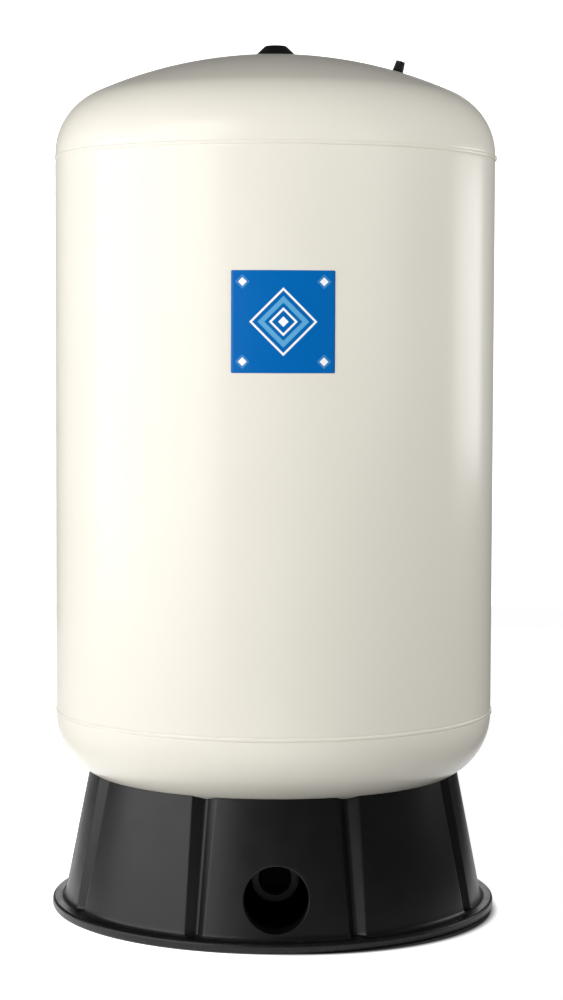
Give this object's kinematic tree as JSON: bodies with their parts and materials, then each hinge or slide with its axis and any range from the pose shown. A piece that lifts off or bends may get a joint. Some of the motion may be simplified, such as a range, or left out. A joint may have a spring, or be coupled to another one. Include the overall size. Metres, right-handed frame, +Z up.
{
  "type": "well pressure tank",
  "caption": "Upright steel well pressure tank with domed ends, capped air valve, square label and a black moulded base with a round pipe opening.",
  "frame": {"origin": "on the floor, under the tank's axis", "axes": "+Z up along the tank's axis, -Y towards the front, where the base has its pipe opening, +X to the right, where the air valve is"},
  "size_m": [0.6412, 0.6412, 1.2387],
  "materials": {
    "ivory_paint": "semi-gloss two-part paint",
    "black_plastic": "moulded, slight sheen",
    "blue_film": "printed film, satin",
    "zinc_steel": "zinc plated",
    "stainless_steel": "pickled stainless",
    "brass": "turned",
    "butyl_rubber": "matt",
    "polypropylene": "natural, moulded"
  },
  "bodies": {
    "tank": {"top_dome": "ivory_paint", "barrel": "ivory_paint", "bottom_dome": "ivory_paint", "crown_boss": "ivory_paint", "crown_cap": "black_plastic", "valve_boss": "ivory_paint", "valve_body": "brass", "valve_core": "brass", "valve_spring": "zinc_steel", "clench_ring": "zinc_steel", "liner": "polypropylene", "diaphragm": "butyl_rubber", "port_flange": "stainless_steel", "port_gasket": "butyl_rubber", "port_nut": "brass", "port_elbow": "black_plastic", "pipe_socket": "black_plastic", "port_plug": "black_plastic", "label": "blue_film", "base": "black_plastic", "base_stud_1": "zinc_steel", "base_nut_1": "zinc_steel", "base_stud_2": "zinc_steel", "base_nut_2": "zinc_steel", "base_stud_3": "zinc_steel", "base_nut_3": "zinc_steel", "base_stud_4": "zinc_steel", "base_nut_4": "zinc_steel"},
    "air_cap": {"valve_cap": "black_plastic", "valve_cap_seal": "butyl_rubber"},
    "core_pin": {"valve_pin": "zinc_steel"}
  },
  "joints": [
    {"name": "air_cap_off", "type": "slide", "parent": "tank", "child": "air_cap", "axis": [0.2762, 0, 0.9611], "range_m": [0, 0.025]},
    {"name": "core_pin_press", "type": "slide", "parent": "tank", "child": "core_pin", "axis": [-0.2762, 0, -0.9611], "range_m": [0, 0.0012], "stiffness_N_per_m": 800, "deforming": ["valve_spring"]}
  ]
}
